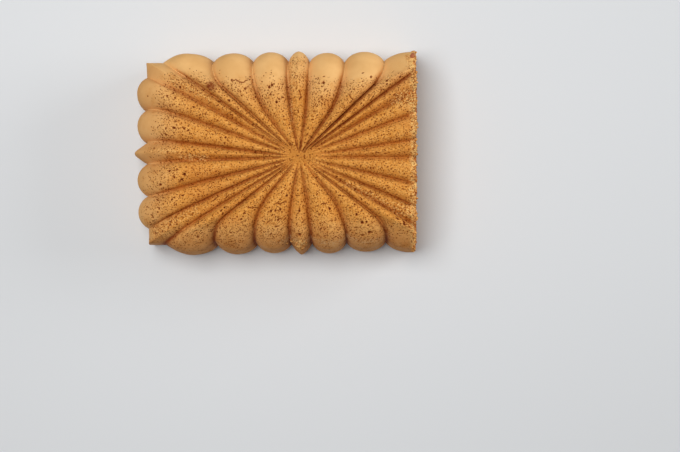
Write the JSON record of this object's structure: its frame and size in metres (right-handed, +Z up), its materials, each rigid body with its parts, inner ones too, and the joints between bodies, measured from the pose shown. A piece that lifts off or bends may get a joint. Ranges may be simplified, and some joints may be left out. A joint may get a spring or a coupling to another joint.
{
  "type": "hazelnut cake",
  "caption": "Brown nut loaf cake from a fluted tin, lying ribs up, its rounded ribs running to one point on the top, one end cut off straight.",
  "frame": {"origin": "the middle of the cake's length and width, on the surface that it stands on", "axes": "+X along the loaf to its cut end, +Y across it, +Z up from the base crust to the ribbed top"},
  "size_m": [0.187, 0.1358, 0.065],
  "materials": {
    "crust": "matte"
  },
  "bodies": {
    "root": {"cake": "crust"}
  },
  "joints": []
}
